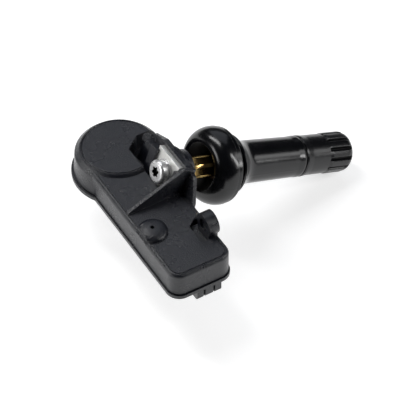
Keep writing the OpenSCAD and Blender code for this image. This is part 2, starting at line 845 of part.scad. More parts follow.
// The small parts on the circuit board, as one group
module board_capacitors() {
    color([0.62, 0.5, 0.36]) on_body() {
        for (i = [0:3]) translate([coil_x + i * part_pitch, parts_y, board_top])
            cube([part_pitch - 1.1, 1.6, 0.8]);
        for (i = [0:2])
            translate([board_left + post_in + post_pin_r + part_gap + i * part_pitch / 2,
                board_near - post_in, board_top]) cube([part_pitch / 2 - 0.4, 1, 0.5]);
    }
}

// The plate that the screw pulls against
module clamp_plate() {
    color([0.8, 0.8, 0.78]) difference() {
        across_valve(plate_in, plate_t)
            translate([-plate_w / 2, -plate_down]) square([plate_w, plate_up + plate_down]);
        on_valve() translate([0, 0, plate_in - eps])
            cylinder(r = screw_r + loose_gap, h = plate_t + 2 * eps);
    }
}

// The flat washer on the plate
module flat_washer() {
    color([0.78, 0.78, 0.78]) ring(washer_in, washer_t, washer_r, screw_r + loose_gap);
}

// The lock washer under the head: a split ring
module lock_washer() {
    color([0.74, 0.74, 0.75]) difference() {
        ring(lock_in, lock_t, washer_r - 0.35, screw_r + loose_gap);
        on_valve() rotate(200) translate([0, -0.25, lock_in - eps])
            cube([washer_r, 0.5, lock_t + 2 * eps]);
    }
}

// The clamp screw, with a six-pointed star recess
module clamp_screw() {
    edge = 0.8;
    color([0.82, 0.82, 0.83]) difference() {
        union() {
            turned() union() {
                translate([0, head_in + edge]) square([head_r, head_t - edge]);
                translate([0, head_in]) square([head_r - edge, head_t]);
                translate([head_r - edge, head_in + edge]) circle(edge);
            }
            on_valve() translate([0, 0, lock_in - eps])
                cylinder(r = screw_r - run_gap, h = screw_len + eps);
        }
        on_valve() translate([0, 0, head_in - eps]) linear_extrude(star_d + eps) {
            circle(1.02);
            for (i = [0:5]) rotate(60 * i) translate([1.05, 0]) circle(0.36);
        }
    }
}

// The brass stem: neck for the screw, air passage and the threaded mouth
module brass_stem() {
    color([0.83, 0.66, 0.32]) difference() {
        union() {
            on_valve() translate([0, 0, wall_in]) rotate(neck_turn)
                cylinder(r = neck_r, h = recess_floor - wall_in + 1, $fn = 6);
            on_valve() translate([0, 0, recess_floor])
                cylinder(r = brass_r, h = thread_in - recess_floor);
            on_valve() translate([0, 0, thread_in - eps])
                cylinder(r = thread_r, h = thread_len + eps);
        }
        on_valve() {
            translate([0, 0, wall_in - eps]) cylinder(r = screw_r, h = tap_d + eps);
            translate([0, 0, wall_in + tap_d + 0.9])
                cylinder(r = air_r, h = chamber_end - wall_in - tap_d);
            translate([0, 0, chamber_end]) cylinder(r = chamber_r, h = mouth - chamber_end);
            translate([0, 0, plug_end - gasket_len])
                cylinder(r1 = chamber_r, r2 = mouth_r, h = gasket_len);
            translate([0, 0, plug_end - eps]) cylinder(r = mouth_r, h = mouth - plug_end + 1);
            translate([0, 0, wall_in + tap_d + 0.9 + air_hole_r])
                rotate([0, 90, 0]) cylinder(r = air_hole_r, h = neck_r + 1);
        }
    }
}

// The moulded rubber of the valve
module rubber_valve() {
    color([0.09, 0.09, 0.1]) turned() polygon(concat(
        [[brass_r, recess_floor], [recess_r - 0.9, bulb_back + 0.8], [recess_r, bulb_back]],
        arc(lip_r - bulb_round, bulb_back + bulb_round_len, bulb_round, bulb_round_len, -90, 0, 12),
        [[lip_r, lip_back], [lip_r - 0.3, groove_in], [seat_r, groove_in], [seat_r, groove_out],
            [shoulder_r - 0.3, groove_out], [shoulder_r, groove_out + 0.2],
            [shoulder_r, shoulder_out], [stem_d / 2, cone_out], [stem_end_d / 2, rubber_end - 2],
            [cap_d / 2, rubber_end - 0.4], [cap_d / 2 - 0.1, rubber_end],
            [brass_r, rubber_end]]));
}

// The valve core's body: threaded plug, neck for the gasket and the narrow tube
module core_barrel() {
    color([0.8, 0.64, 0.3]) turned() polygon([
        [guide_r, tube_end], [tube_r, tube_end], [tube_r, plug_end],
        [mouth_r - run_gap, plug_end], [mouth_r - run_gap, plug_top], [plug_bore, plug_top],
        [plug_bore, spring_seat], [guide_r, spring_seat]]);
}

// The core's gasket, seated on the cone in the mouth
module core_gasket() {
    color([0.85, 0.25, 0.2]) turned() polygon([
        [tube_r, plug_end - gasket_len], [chamber_r - run_gap, plug_end - gasket_len],
        [mouth_r - run_gap, plug_end], [tube_r, plug_end]]);
}

// The core's pin, with its pressing head and the collar over the spring
module core_pin() {
    color([0.75, 0.62, 0.35]) turned() polygon([
        [0, tube_end - plunger_len], [pin_r, tube_end - plunger_len], [pin_r, pin_collar],
        [plug_bore - 0.15, pin_collar], [plug_bore - 0.15, pin_collar + 0.4],
        [pin_r + 0.15, pin_collar + 0.7], [pin_r + 0.15, pin_head - 0.1],
        [pin_r, pin_head], [0, pin_head]]);
}

// The plunger that shuts the tube's end
module core_plunger() {
    color([0.16, 0.16, 0.17]) turned() polygon([
        [pin_r, tube_end - plunger_len], [tube_r - 0.4, tube_end - plunger_len],
        [tube_r, tube_end - plunger_len + 0.6], [tube_r, tube_end - run_gap],
        [pin_r, tube_end - run_gap]]);
}

// The core's spring: a round wire wound in a helix, cut across its axis at each height
module core_spring() {
    low = spring_seat + wire_d / 2;
    high = pin_collar - wire_d / 2;
    pitch = (high - low) / spring_turns;
    half = 180 * wire_d / pitch;
    section = [for (i = [0:9]) let (a = i * 36, r = spring_r + wire_d / 2 * cos(a))
        [r * cos(half * sin(a)), r * sin(half * sin(a))]];
    color([0.7, 0.7, 0.72]) on_valve() translate([0, 0, low])
        linear_extrude(high - low, twist = -360 * spring_turns, slices = 16 * spring_turns,
            $fn = 10) polygon(section);
}

// The cap, with grip grooves round its closed end
module valve_cap() {
    color([0.08, 0.08, 0.09]) difference() {
        turned() polygon(concat(
            [[thread_r + run_gap, cap_in], [cap_d / 2 - 0.15, cap_in], [cap_d / 2, cap_in + 0.2],
                [cap_d / 2 - 0.1, cap_in + 2]],
            arc(cap_end_d / 2 - cap_round, cap_out - cap_round, cap_round, cap_round, 0, 90, 8),
            [[0, cap_out], [0, seal_out + run_gap], [thread_r + run_gap, seal_out + run_gap]]));
        for (i = [0:flutes - 1]) on_valve() rotate(flute_turn + i * 360 / flutes)
            translate([cap_end_d / 2 - flute_d, -flute_w / 2, cap_out - flute_len])
                cube([2, flute_w, far]);
    }
}

// The seal ring inside the cap
module cap_seal() {
    color([0.25, 0.25, 0.26]) ring(seal_in, cap_seal_t, thread_r - 0.05, 1.4);
}

housing();
base_cover();
circuit_board();
battery_cell();
battery_tab_top();
battery_tab_bottom();
pressure_sensor_chip();
port_seal();
radio_chip();
crystal_can();
coil_core();
coil_winding();
antenna_strip();
board_capacitors();
clamp_plate();
flat_washer();
lock_washer();
clamp_screw();
brass_stem();
rubber_valve();
core_barrel();
core_gasket();
core_pin();
core_plunger();
core_spring();
valve_cap();
cap_seal();
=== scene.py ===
import math

import bmesh
import bpy
from mathutils import Matrix, Vector


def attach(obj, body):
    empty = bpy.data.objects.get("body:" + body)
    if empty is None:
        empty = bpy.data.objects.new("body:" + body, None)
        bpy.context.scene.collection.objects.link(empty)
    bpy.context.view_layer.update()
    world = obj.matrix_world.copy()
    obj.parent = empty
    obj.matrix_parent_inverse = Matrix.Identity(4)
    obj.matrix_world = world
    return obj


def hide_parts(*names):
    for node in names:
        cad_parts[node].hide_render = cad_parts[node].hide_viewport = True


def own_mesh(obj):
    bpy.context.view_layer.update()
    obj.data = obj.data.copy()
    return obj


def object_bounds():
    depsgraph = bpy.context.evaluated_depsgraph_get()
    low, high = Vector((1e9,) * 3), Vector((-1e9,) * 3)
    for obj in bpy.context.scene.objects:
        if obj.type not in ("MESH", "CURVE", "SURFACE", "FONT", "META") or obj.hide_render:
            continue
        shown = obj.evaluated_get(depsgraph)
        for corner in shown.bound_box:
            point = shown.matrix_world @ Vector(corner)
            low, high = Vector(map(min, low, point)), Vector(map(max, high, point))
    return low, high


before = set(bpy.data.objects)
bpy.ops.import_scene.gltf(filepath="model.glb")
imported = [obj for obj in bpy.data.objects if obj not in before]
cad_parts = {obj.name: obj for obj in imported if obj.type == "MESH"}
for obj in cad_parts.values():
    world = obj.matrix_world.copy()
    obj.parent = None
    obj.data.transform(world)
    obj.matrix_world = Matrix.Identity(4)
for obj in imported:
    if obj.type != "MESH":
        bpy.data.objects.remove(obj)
cad_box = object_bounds()

MM = 0.001
VALVE_TILT = math.radians(21.2)

# The valve's axis, the direction up across it, and the direction along the cradle's wall
ALONG = Vector((math.cos(VALVE_TILT), 0.0, -math.sin(VALVE_TILT)))
UP = Vector((math.sin(VALVE_TILT), 0.0, math.cos(VALVE_TILT)))
ASIDE = Vector((0.0, 1.0, 0.0))

# Stations along the valve in mm, from the middle of the rim groove, as in the solids.
# First the clamp screw's head and the cradle's wall:
HEAD_IN = -20.3
WALL_IN = -16.4
# The rubber, from its bulb to the end of its stem:
BULB_BACK = -7.0
RECESS_FLOOR = -3.6
LIP_BACK = -2.0
GROOVE_HALF = 1.5
SHOULDER_OUT = 2.1
CONE_OUT = 6.1
RUBBER_END = 22.9
# The cap and the brass mouth inside it:
CAP_IN = 23.2
MOUTH = 36.3
CAP_FLOOR = 37.3
CAP_OUT = 39.1
# The valve core's spring, between its seat and the pin's collar:
SPRING_SEAT = 30.8
PIN_COLLAR = 34.7

# Other measures of the valve in mm
THREAD_PITCH = 0.794
NECK_TURNED = 2.85

# The camera's place in mm, its directions to the right and back as fitted to the photo, its lens
CAMERA_PLACE = Vector((-188.24, -304.72, 367.91))
CAMERA_RIGHT = Vector((0.8590, -0.5119, 0.0008))
CAMERA_BACK = Vector((-0.3512, -0.5883, 0.7284))
LENS = 187.6
FILM_WIDTH = 36.0

# The soft lamps, which all point at the rim groove: place and size in metres, power, colour
LAMPS = {
    "overhead": ((-0.12, 0.28, 0.45), (0.11, 0.40), 1.2, (1, 1, 1)),
    "back": ((0.21, 0.353, 0.437), (0.52, 0.52), 0.57, (0.88, 0.92, 1.0)),
    "front strip": ((0.31, -0.30, 0.26), (0.05, 0.40), 1.0, (1, 1, 1)),
    "right": ((0.41, -0.20, 0.19), (0.10, 0.20), 0.20, (1, 1, 1)),
    "left": ((-0.50, 0.16, 0.16), (0.26, 0.26), 1.05, (1, 1, 1)),
}

# The room's own faint light. The floor's paper has a white of its own, PAPER_LIFT near the lamps
# and all of it far from them; the distances are in metres.
ROOM_LIGHT = 0.02
PAPER_LIFT = 0.6
PAPER_NEAR = 0.25
PAPER_FAR = 0.8
FLOOR_REACH = 6.0
FLOOR_GAP = 0.0006


# The camera, the stage and the lamps

def camera():
    """The camera at the photo's place."""
    data = bpy.data.cameras.new("camera")
    data.lens = LENS
    data.sensor_width = FILM_WIDTH
    data.clip_start = 0.01
    data.clip_end = 20.0
    right = CAMERA_RIGHT.normalized()
    back = CAMERA_BACK.normalized()
    up = back.cross(right).normalized()
    turn = Matrix((up.cross(back), up, back)).transposed()
    obj = bpy.data.objects.new("camera", data)
    obj.matrix_world = Matrix.Translation(CAMERA_PLACE * MM) @ turn.to_4x4()
    bpy.context.collection.objects.link(obj)
    bpy.context.scene.camera = obj


def area_lamp(name, place, size, power, colour):
    """A soft rectangular lamp that points at the rim groove."""
    data = bpy.data.lights.new(name, "AREA")
    data.shape = "RECTANGLE"
    data.size, data.size_y = size
    data.energy = power
    data.color = colour
    obj = bpy.data.objects.new(name, data)
    way = -Vector(place).normalized()
    obj.matrix_world = (Matrix.Translation(Vector(place))
                        @ way.to_track_quat("-Z", "Y").to_matrix().to_4x4())
    bpy.context.collection.objects.link(obj)


def sky():
    """A dim studio room above the white floor, so that black rubber keeps its black sides."""
    world = bpy.data.worlds.new("studio")
    bpy.context.scene.world = world
    world.use_nodes = True
    room = world.node_tree.nodes["Background"]
    room.inputs["Color"].default_value = (1, 1, 1, 1)
    room.inputs["Strength"].default_value = ROOM_LIGHT


def floor_paper():
    """White paper: a matt sheet that takes shadows, lifted to white by a light of its own."""
    paper = bpy.data.materials.new("floor paper")
    paper.use_nodes = True
    nodes, links = paper.node_tree.nodes, paper.node_tree.links
    nodes.clear()
    matt = nodes.new("ShaderNodeBsdfDiffuse")
    matt.inputs["Color"].default_value = (0.8, 0.8, 0.8, 1)
    path = nodes.new("ShaderNodeLightPath").outputs
    seen = math_node(nodes, links, "MAXIMUM", path["Is Camera Ray"], path["Is Glossy Ray"])
    seen = math_node(nodes, links, "MAXIMUM", seen, path["Is Transmission Ray"])
    # Far from the lamps the sheet's own white makes up for their light
    away = vector_node(nodes, links, "LENGTH", object_place(nodes))
    lift = ramp(nodes, links, away, PAPER_NEAR, PAPER_FAR, PAPER_LIFT, 1.0)
    glow = nodes.new("ShaderNodeEmission")
    links.new(math_node(nodes, links, "MULTIPLY", seen, lift), glow.inputs["Strength"])
    sheet = nodes.new("ShaderNodeAddShader")
    links.new(matt.outputs[0], sheet.inputs[0])
    links.new(glow.outputs[0], sheet.inputs[1])
    # Seen from below, the sheet is clear, so that it never hides the underside
    clear_back = nodes.new("ShaderNodeMixShader")
    links.new(nodes.new("ShaderNodeNewGeometry").outputs["Backfacing"], clear_back.inputs[0])
    links.new(sheet.outputs[0], clear_back.inputs[1])
    links.new(nodes.new("ShaderNodeBsdfTransparent").outputs[0], clear_back.inputs[2])
    out = nodes.new("ShaderNodeOutputMaterial")
    links.new(clear_back.outputs[0], out.inputs["Surface"])
    return paper


def studio():
    """A pale floor, a dim room and the soft lamps."""
    bpy.context.scene.view_settings.view_transform = "Standard"
    sky()
    low = cad_box[0][2] - FLOOR_GAP
    mesh = bpy.data.meshes.new("floor")
    mesh.from_pydata([(-FLOOR_REACH, -FLOOR_REACH, low), (FLOOR_REACH, -FLOOR_REACH, low),
                      (FLOOR_REACH, FLOOR_REACH, low), (-FLOOR_REACH, FLOOR_REACH, low)],
                     [], [(0, 1, 2, 3)])
    floor = bpy.data.objects.new("floor", mesh)
    bpy.context.collection.objects.link(floor)
    floor.data.materials.append(floor_paper())
    for name, lamp in LAMPS.items():
        area_lamp(name, *lamp)


# The small steps that the materials are made of

def feed(links, place, value):
    """Gives a node's input a plain value, or joins another node's output to it."""
    if isinstance(value, bpy.types.NodeSocket):
        links.new(value, place)
    else:
        place.default_value = value


def object_place(nodes):
    """The point's place in the object's own frame, which is the frame of the CAD."""
    return nodes.new("ShaderNodeTexCoord").outputs["Object"]


def math_node(nodes, links, kind, a, b):
    """The result of the named kind of reckoning on two numbers."""
    node = nodes.new("ShaderNodeMath")
    node.operation = kind
    feed(links, node.inputs[0], a)
    feed(links, node.inputs[1], b)
    return node.outputs[0]


def vector_node(nodes, links, kind, *vectors):
    """The number that one or two vectors give: a length or a product."""
    node = nodes.new("ShaderNodeVectorMath")
    node.operation = kind
    for place, vector in zip(node.inputs, vectors):
        feed(links, place, vector)
    return node.outputs["Value"]


def noise(nodes, links, where, scale, detail=2.0, rough=0.5):
    """Cloudy noise from 0 to 1, with scale spots to the metre."""
    node = nodes.new("ShaderNodeTexNoise")
    feed(links, node.inputs["Scale"], scale)
    node.inputs["Detail"].default_value = detail
    node.inputs["Roughness"].default_value = rough
    links.new(where, node.inputs["Vector"])
    return node.outputs["Fac"]


def ramp(nodes, links, value, low, high, out_low=0.0, out_high=1.0):
    """A value from low to high, brought to run from out_low to out_high and held there."""
    node = nodes.new("ShaderNodeMapRange")
    feed(links, node.inputs["From Min"], low)
    feed(links, node.inputs["From Max"], high)
    node.inputs["To Min"].default_value = out_low
    node.inputs["To Max"].default_value = out_high
    links.new(value, node.inputs["Value"])
    return node.outputs[0]


def mix(nodes, links, fac, a, b, kind="RGBA"):
    """Two colours, or two numbers where the kind is FLOAT, mixed by a mask."""
    node = nodes.new("ShaderNodeMix")
    node.data_type = kind
    links.new(fac, node.inputs["Factor"])
    socket_type = {"RGBA": "RGBA", "FLOAT": "VALUE"}[kind]
    for value, name in ((a, "A"), (b, "B")):
        place = [s for s in node.inputs if s.name == name and s.type == socket_type][0]
        feed(links, place, (*value, 1) if isinstance(value, tuple) else value)
    return [s for s in node.outputs if s.type == socket_type][0]


def add_bump(nodes, links, shader, height, strength, distance, normal=None):
    """Raises the surface by a height, on top of a softened normal where one is given."""
    lift = nodes.new("ShaderNodeBump")
    lift.inputs["Strength"].default_value = strength
    lift.inputs["Distance"].default_value = distance
    links.new(height, lift.inputs["Height"])
    if normal is not None:
        links.new(normal, lift.inputs["Normal"])
    links.new(lift.outputs["Normal"], shader.inputs["Normal"])


# The effects that several materials share

def socket(group, name, way, kind, value=None):
    """A named input or output of a group, with its usual value."""
    item = group.interface.new_socket(name=name, in_out=way, socket_type=kind)
    if value is not None:
        item.default_value = value


def open_group(group):
    """The group's nodes and links, what comes into it and what goes out."""
    nodes = group.nodes
    given = nodes.new("NodeGroupInput").outputs
    return nodes, group.links, given, nodes.new("NodeGroupOutput").inputs


def moulded_grain():
    """Fine moulded grain: a colour, a roughness and a height that change over the surface; the
    colour is lighter in random blots of wear and, as a painted highlight, along sharp edges.
    """
    group = bpy.data.node_groups.new("moulded grain", "ShaderNodeTree")
    socket(group, "Colour", "INPUT", "NodeSocketColor")
    socket(group, "Worn Colour", "INPUT", "NodeSocketColor")
    socket(group, "Grain Scale", "INPUT", "NodeSocketFloat", 6000.0)
    socket(group, "Roughness Low", "INPUT", "NodeSocketFloat", 0.4)
    socket(group, "Roughness High", "INPUT", "NodeSocketFloat", 0.6)
    socket(group, "Edge", "INPUT", "NodeSocketFloat", 0.0)
    socket(group, "Colour", "OUTPUT", "NodeSocketColor")
    socket(group, "Roughness", "OUTPUT", "NodeSocketFloat")
    socket(group, "Height", "OUTPUT", "NodeSocketFloat")
    nodes, links, given, out = open_group(group)
    where = object_place(nodes)
    grain = noise(nodes, links, where, given["Grain Scale"])
    cloud = noise(nodes, links, where, 180.0, 3.0, 0.55)
    flow = noise(nodes, links, where, 900.0, 2.0, 0.6)
    blot = math_node(nodes, links, "MULTIPLY", ramp(nodes, links, cloud, 0.35, 0.7),
                     ramp(nodes, links, flow, 0.3, 0.75))
    # Random blots of wear, and a painted highlight along the sharp edges, both in the lighter
    # colour
    wear_and_edge_highlight = math_node(nodes, links, "MAXIMUM", math_node(nodes, links, "MULTIPLY", blot, 0.35),
                     math_node(nodes, links, "MULTIPLY", given["Edge"], 0.5))
    links.new(mix(nodes, links, wear_and_edge_highlight, given["Colour"], given["Worn Colour"]), out["Colour"])
    links.new(mix(nodes, links, cloud, given["Roughness Low"], given["Roughness High"], "FLOAT"),
              out["Roughness"])
    links.new(grain, out["Height"])
    return group


def soft_edge():
    """Rounded edges for the light: a bevelled normal and a mask of the sharp edges."""
    group = bpy.data.node_groups.new("soft edge", "ShaderNodeTree")
    socket(group, "Radius", "INPUT", "NodeSocketFloat", 0.0002)
    socket(group, "Normal", "OUTPUT", "NodeSocketVector")
    socket(group, "Edge", "OUTPUT", "NodeSocketFloat")
    nodes, links, given, out = open_group(group)
    bevel = nodes.new("ShaderNodeBevel")
    bevel.samples = 4
    links.new(given["Radius"], bevel.inputs["Radius"])
    plain = nodes.new("ShaderNodeNewGeometry")
    same_way = vector_node(nodes, links, "DOT_PRODUCT", bevel.outputs["Normal"],
                           plain.outputs["Normal"])
    links.new(bevel.outputs["Normal"], out["Normal"])
    links.new(ramp(nodes, links, same_way, 0.98, 0.8), out["Edge"])
    return group


def turned_marks():
    """Fine rings left by turning round the valve's axis, and a cloudy tarnish."""
    group = bpy.data.node_groups.new("turned marks", "ShaderNodeTree")
    socket(group, "Rings per metre", "INPUT", "NodeSocketFloat", 9000.0)
    socket(group, "Height", "OUTPUT", "NodeSocketFloat")
    socket(group, "Tarnish", "OUTPUT", "NodeSocketFloat")
    nodes, links, given, out = open_group(group)
    where = object_place(nodes)
    rings = nodes.new("ShaderNodeTexNoise")
    rings.noise_dimensions = "1D"
    rings.inputs["Detail"].default_value = 3.0
    links.new(vector_node(nodes, links, "DOT_PRODUCT", where, ALONG), rings.inputs["W"])
    links.new(given["Rings per metre"], rings.inputs["Scale"])
    links.new(rings.outputs["Fac"], out["Height"])
    cloud = noise(nodes, links, where, 700.0, 4.0, 0.6)
    links.new(ramp(nodes, links, cloud, 0.4, 0.75), out["Tarnish"])
    return group


def depth_shade():
    """A mask for a deep place on the valve's axis: inside a radius, from one station to another."""
    group = bpy.data.node_groups.new("depth shade", "ShaderNodeTree")
    socket(group, "Radius", "INPUT", "NodeSocketFloat", 0.0015)
    socket(group, "From", "INPUT", "NodeSocketFloat", 0.0)
    socket(group, "Full", "INPUT", "NodeSocketFloat", 0.001)
    socket(group, "Until", "INPUT", "NodeSocketFloat", 1.0)
    socket(group, "Mask", "OUTPUT", "NodeSocketFloat")
    nodes, links, given, out = open_group(group)
    where = object_place(nodes)
    along = vector_node(nodes, links, "DOT_PRODUCT", where, ALONG)
    whole = vector_node(nodes, links, "LENGTH", where)
    off_axis = math_node(nodes, links, "SUBTRACT", math_node(nodes, links, "POWER", whole, 2.0),
                         math_node(nodes, links, "POWER", along, 2.0))
    near = math_node(nodes, links, "LESS_THAN", off_axis,
                     math_node(nodes, links, "POWER", given["Radius"], 2.0))
    before = math_node(nodes, links, "LESS_THAN", along, given["Until"])
    inside = math_node(nodes, links, "MULTIPLY", near, before)
    deep = ramp(nodes, links, along, given["From"], given["Full"])
    links.new(math_node(nodes, links, "MULTIPLY", inside, deep), out["Mask"])
    return group


GRAIN = moulded_grain()
EDGE = soft_edge()
TURNED = turned_marks()
DEPTH = depth_shade()

# Radii of the softened edges, in metres
WIDE_EDGE = 0.00018
COVER_EDGE = 0.00012
FINE_EDGE = 0.0001


# The materials

def new_material(name):
    """A new material, its nodes and links, and its shader."""
    mat = bpy.data.materials.new(name)
    mat.use_nodes = True
    nodes, links = mat.node_tree.nodes, mat.node_tree.links
    return mat, nodes, links, nodes["Principled BSDF"]


def place_group(nodes, group, **values):
    """A shared effect placed in a material, with the material's own values."""
    node = nodes.new("ShaderNodeGroup")
    node.node_tree = group
    for name, value in values.items():
        node.inputs[name.replace("_", " ")].default_value = value
    return node


def moulded(name, colour, wear_and_edge_highlight, rough, grain=6000.0, height=0.12, edge=WIDE_EDGE, specular=0.5,
            lift_by=0.00005):
    """A moulded plastic or rubber with fine grain, softened edges, random blots of wear and a
    painted highlight along its edges.
    """
    mat, nodes, links, shader = new_material(name)
    edges = place_group(nodes, EDGE, Radius=edge)
    skin = place_group(nodes, GRAIN, Colour=(*colour, 1), Worn_Colour=(*wear_and_edge_highlight, 1),
                       Grain_Scale=grain, Roughness_Low=rough[0], Roughness_High=rough[1])
    # The edge mask brings the lighter colour along the edges as a painted highlight
    links.new(edges.outputs["Edge"], skin.inputs["Edge"])
    links.new(skin.outputs["Colour"], shader.inputs["Base Color"])
    links.new(skin.outputs["Roughness"], shader.inputs["Roughness"])
    shader.inputs["Specular IOR Level"].default_value = specular
    add_bump(nodes, links, shader, skin.outputs["Height"], height, lift_by,
             edges.outputs["Normal"])
    return mat


def shaded(nodes, links, base, deep, dark):
    """The colour with painted shade in a deep place: deep is its radius and its first, full and
    last station.
    """
    radius, start, full, until = (mm * MM for mm in deep)
    shade = place_group(nodes, DEPTH, Radius=radius, From=start, Full=full, Until=until)
    return mix(nodes, links, shade.outputs["Mask"], base, dark)


def metal(name, colour, dull, rough, rings=9000.0, height=0.1, recess_shade=None):
    """A turned metal with ring marks and a little tarnish, and painted shade where it runs deep
    into a recess.
    """
    mat, nodes, links, shader = new_material(name)
    marks = place_group(nodes, TURNED, Rings_per_metre=rings)
    edges = place_group(nodes, EDGE, Radius=FINE_EDGE)
    tarnish = marks.outputs["Tarnish"]
    base = mix(nodes, links, tarnish, colour, dull)
    # Painted shade: the metal turns dark inside a radius of the axis, deep in the rubber's recess
    if recess_shade:
        base = shaded(nodes, links, base, recess_shade, (0.035, 0.016, 0.006))
    links.new(base, shader.inputs["Base Color"])
    links.new(ramp(nodes, links, tarnish, 0.0, 1.0, *rough), shader.inputs["Roughness"])
    shader.inputs["Metallic"].default_value = 1.0
    add_bump(nodes, links, shader, marks.outputs["Height"], height, 0.00003,
             edges.outputs["Normal"])
    return mat


def plated(name, colour, dull, rough, recess=None):
    """Bright plating, a little cloudy; recess gives painted shade in a socket."""
    mat, nodes, links, shader = new_material(name)
    cloud = ramp(nodes, links, noise(nodes, links, object_place(nodes), 1100.0, 3.0), 0.35, 0.7)
    base = mix(nodes, links, cloud, colour, dull)
    # Painted shade: dark inside a radius of the axis, deeper than the screw head's face
    if recess:
        base = shaded(nodes, links, base, recess, (0.012, 0.012, 0.010))
    links.new(base, shader.inputs["Base Color"])
    links.new(ramp(nodes, links, cloud, 0.0, 1.0, *rough), shader.inputs["Roughness"])
    shader.inputs["Metallic"].default_value = 0.75
    edges = place_group(nodes, EDGE, Radius=FINE_EDGE)
    add_bump(nodes, links, shader, cloud, 0.1, 0.00003, edges.outputs["Normal"])
    return mat


def speckled(name, colour, fleck, rough, scale=3000.0):
    """A fired or resin surface with flecks."""
    mat, nodes, links, shader = new_material(name)
    where = object_place(nodes)
    cells = nodes.new("ShaderNodeTexVoronoi")
    cells.inputs["Scale"].default_value = scale
    links.new(where, cells.inputs["Vector"])
    flecks = ramp(nodes, links, cells.outputs["Distance"], 0.1, 0.7)
    links.new(mix(nodes, links, flecks, colour, fleck), shader.inputs["Base Color"])
    links.new(ramp(nodes, links, noise(nodes, links, where, scale * 0.3), 0.3, 0.7, *rough),
              shader.inputs["Roughness"])
    add_bump(nodes, links, shader, cells.outputs["Distance"], 0.15, 0.00004)
    return mat


def board_coat():
    """The circuit board's coat, with tracks and pads that show through."""
    mat, nodes, links, shader = new_material("board coat")
    where = object_place(nodes)
    tracks = nodes.new("ShaderNodeTexBrick")
    tracks.inputs["Scale"].default_value = 420.0
    tracks.inputs["Mortar Size"].default_value = 0.05
    tracks.inputs["Color1"].default_value = (0.012, 0.10, 0.045, 1)
    tracks.inputs["Color2"].default_value = (0.018, 0.13, 0.055, 1)
    tracks.inputs["Mortar"].default_value = (0.05, 0.24, 0.10, 1)
    links.new(where, tracks.inputs["Vector"])
    links.new(tracks.outputs["Color"], shader.inputs["Base Color"])
    links.new(ramp(nodes, links, noise(nodes, links, where, 900.0), 0.3, 0.7, 0.25, 0.4),
              shader.inputs["Roughness"])
    add_bump(nodes, links, shader, tracks.outputs["Fac"], 0.3, 0.00005)
    return mat


def wound_wire():
    """Lacquered wire wound round the coil's core, across its length."""
    mat, nodes, links, shader = new_material("wound wire")
    wave = nodes.new("ShaderNodeTexWave")
    wave.wave_type = "BANDS"
    wave.bands_direction = "X"
    wave.inputs["Scale"].default_value = 3500.0
    wave.inputs["Distortion"].default_value = 0.4
    links.new(object_place(nodes), wave.inputs["Vector"])
    turns = wave.outputs["Fac"]
    links.new(mix(nodes, links, turns, (0.22, 0.07, 0.02), (0.62, 0.26, 0.10)),
              shader.inputs["Base Color"])
    links.new(ramp(nodes, links, turns, 0.0, 1.0, 0.5, 0.25), shader.inputs["Roughness"])
    shader.inputs["Metallic"].default_value = 0.7
    add_bump(nodes, links, shader, turns, 0.6, 0.00005)
    return mat


BODY = moulded("body nylon", (0.009, 0.010, 0.015), (0.020, 0.022, 0.029), (0.24, 0.32),
               grain=4200.0, height=1.0, specular=0.53, lift_by=0.0001)
COVER = moulded("cover nylon", (0.008, 0.009, 0.013), (0.018, 0.020, 0.026), (0.24, 0.32),
                grain=4200.0, height=1.0, edge=COVER_EDGE, specular=0.53, lift_by=0.00009)
RUBBER = moulded("valve rubber", (0.0025, 0.0028, 0.004), (0.007, 0.0075, 0.009), (0.17, 0.24),
                 grain=2400.0, height=0.25, edge=FINE_EDGE)
# A darker, duller copy of the rubber: painted shade for the inside of the valve's recess
RECESS_SHADE = moulded("shaded recess rubber", (0.0012, 0.0013, 0.0018), (0.003, 0.003, 0.004), (0.45, 0.55),
                 grain=2400.0, height=0.25, edge=FINE_EDGE, specular=0.12)
CAP = moulded("cap plastic", (0.003, 0.0033, 0.0045), (0.009, 0.0095, 0.011), (0.22, 0.30),
              grain=2400.0, height=0.4, edge=FINE_EDGE)
# A darker, duller copy of the cap plastic: painted shade for the floors of the grooves
GROOVE_SHADE = moulded("cap groove shade", (0.0012, 0.0013, 0.0018), (0.003, 0.003, 0.004), (0.45, 0.55),
               grain=2400.0, height=0.3, edge=FINE_EDGE, specular=0.15)
SEAL = moulded("seal rubber", (0.03, 0.03, 0.032), (0.045, 0.045, 0.048), (0.5, 0.65))
GASKET = moulded("red gasket", (0.35, 0.03, 0.02), (0.45, 0.06, 0.04), (0.35, 0.5))
RESIN = speckled("chip resin", (0.014, 0.014, 0.016), (0.028, 0.028, 0.03), (0.45, 0.6))
FERRITE = speckled("ferrite", (0.06, 0.057, 0.057), (0.10, 0.095, 0.095), (0.5, 0.7))
CERAMIC = speckled("ceramic", (0.36, 0.25, 0.14), (0.48, 0.36, 0.22), (0.35, 0.5), 2500.0)
# The brass neck gets painted shade where it runs into the rubber's recess
BRASS = metal("turned brass", (0.88, 0.64, 0.26), (0.74, 0.44, 0.14), (0.22, 0.28),
              rings=5000.0, height=0.04, recess_shade=(4.0, -6.2, -4.8, 5.0))
ZINC = plated("bright zinc", (0.93, 0.93, 0.90), (0.80, 0.80, 0.77), (0.34, 0.46))
STEEL = plated("plated steel", (0.90, 0.90, 0.90), (0.74, 0.74, 0.75), (0.26, 0.38))
# The screw's star socket gets painted shade
SCREW = plated("plated screw", (0.90, 0.90, 0.90), (0.74, 0.74, 0.75), (0.26, 0.38),
               recess=(1.5, HEAD_IN + 0.07, HEAD_IN + 0.27, 0.0))
CAN = metal("drawn can", (0.66, 0.67, 0.69), (0.55, 0.56, 0.58), (0.25, 0.4))
STRIP = metal("nickel strip", (0.72, 0.69, 0.62), (0.6, 0.57, 0.5), (0.2, 0.35))

